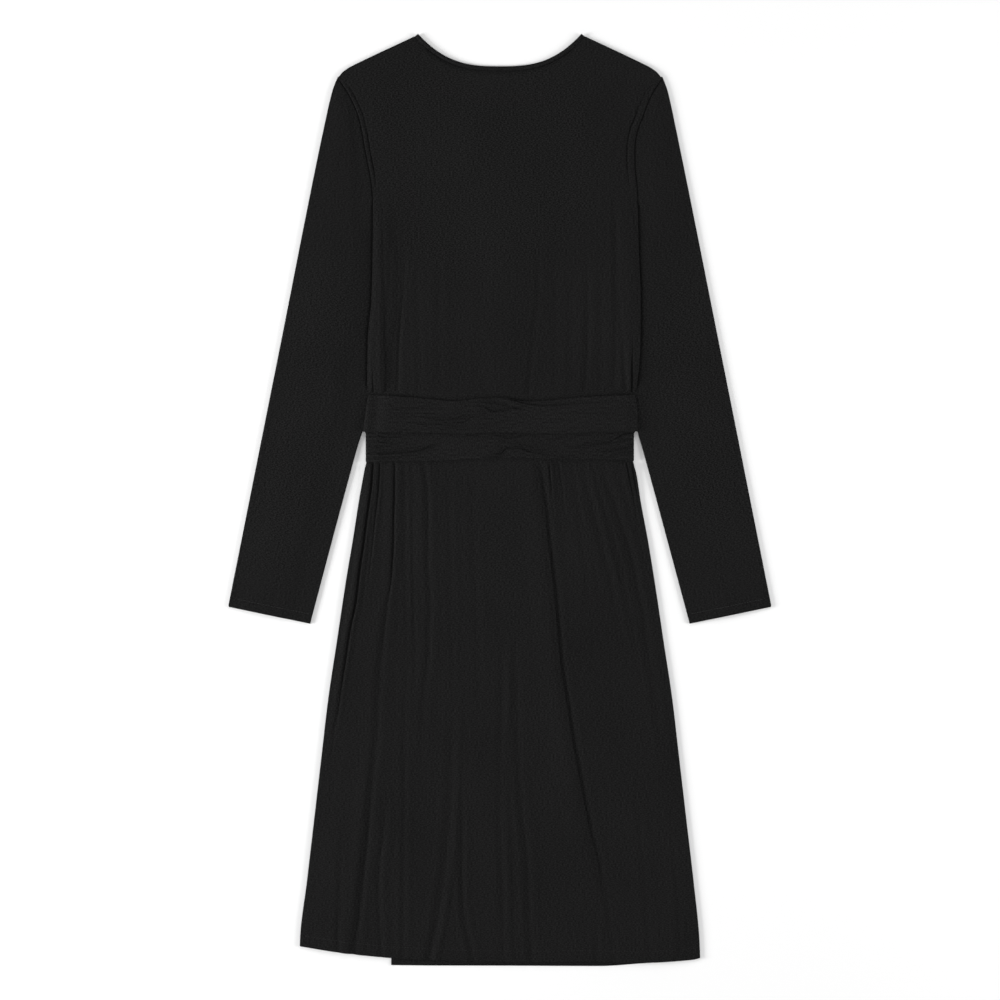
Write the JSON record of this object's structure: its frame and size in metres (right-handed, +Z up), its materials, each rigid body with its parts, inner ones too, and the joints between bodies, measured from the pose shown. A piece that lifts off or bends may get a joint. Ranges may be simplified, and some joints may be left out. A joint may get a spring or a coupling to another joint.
{
  "type": "wrap dress",
  "caption": "Knee-length long-sleeved jersey wrap dress, lying flat on its front with its back up and its belt wound round the waist.",
  "frame": {"origin": "middle of the dress's length and width, on the surface that it lies on", "axes": "+Y from the hem to the neck, +Z up from the surface, +X to the right as the back is seen"},
  "size_m": [0.5966, 1.0226, 0.01],
  "materials": {
    "jersey": "matte black fine-gauge jersey knit",
    "binding": "matte black jersey binding, stitched down",
    "belt_jersey": "matte black jersey sash, softly gathered"
  },
  "bodies": {
    "root": {"back_bodice": "jersey", "back_skirt": "jersey", "front_skirt_over": "jersey", "front_skirt_under": "jersey", "front_bodice_over": "jersey", "front_bodice_under": "jersey", "neck_binding_over": "binding", "neck_binding_under": "binding", "neck_binding_back": "binding", "sleeve_left": "jersey", "sleeve_right": "jersey", "belt_back_lower": "belt_jersey", "belt_back_upper": "belt_jersey", "belt_front": "belt_jersey"}
  },
  "joints": []
}
